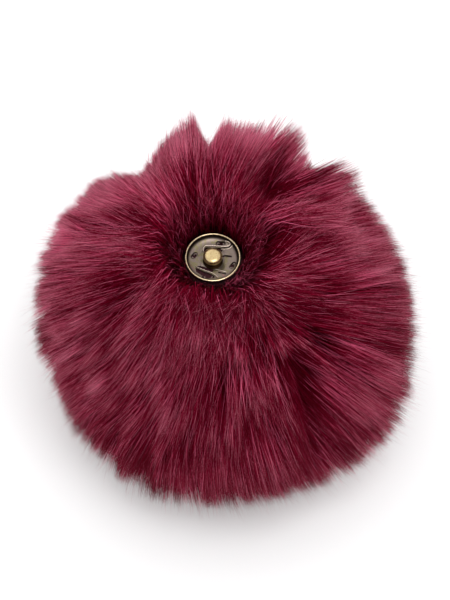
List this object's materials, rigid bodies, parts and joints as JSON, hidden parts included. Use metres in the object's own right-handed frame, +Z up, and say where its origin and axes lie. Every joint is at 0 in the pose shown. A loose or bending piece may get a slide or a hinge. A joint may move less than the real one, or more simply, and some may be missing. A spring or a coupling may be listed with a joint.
{
  "type": "pom pom",
  "caption": "Ball of long-pile faux fur lying on its pile, with a sewn-on metal press stud facing up from a dimple in its top.",
  "frame": {"origin": "on the surface that the pom pom lies on, straight below the middle of the press stud", "axes": "+Z up through the press stud; the picture looks along +Y and down, with +X to its right"},
  "size_m": [0.104, 0.1052, 0.084],
  "materials": {
    "fur_pile": "long combed acrylic pile, burgundy",
    "press_stud_plate": "antique brass, dark in the dish and bright on the rim",
    "press_stud_post": "antique brass, rubbed bright on top"
  },
  "bodies": {
    "root": {"fur_pile": "fur_pile", "press_stud_plate": "press_stud_plate", "press_stud_post": "press_stud_post"}
  },
  "joints": []
}
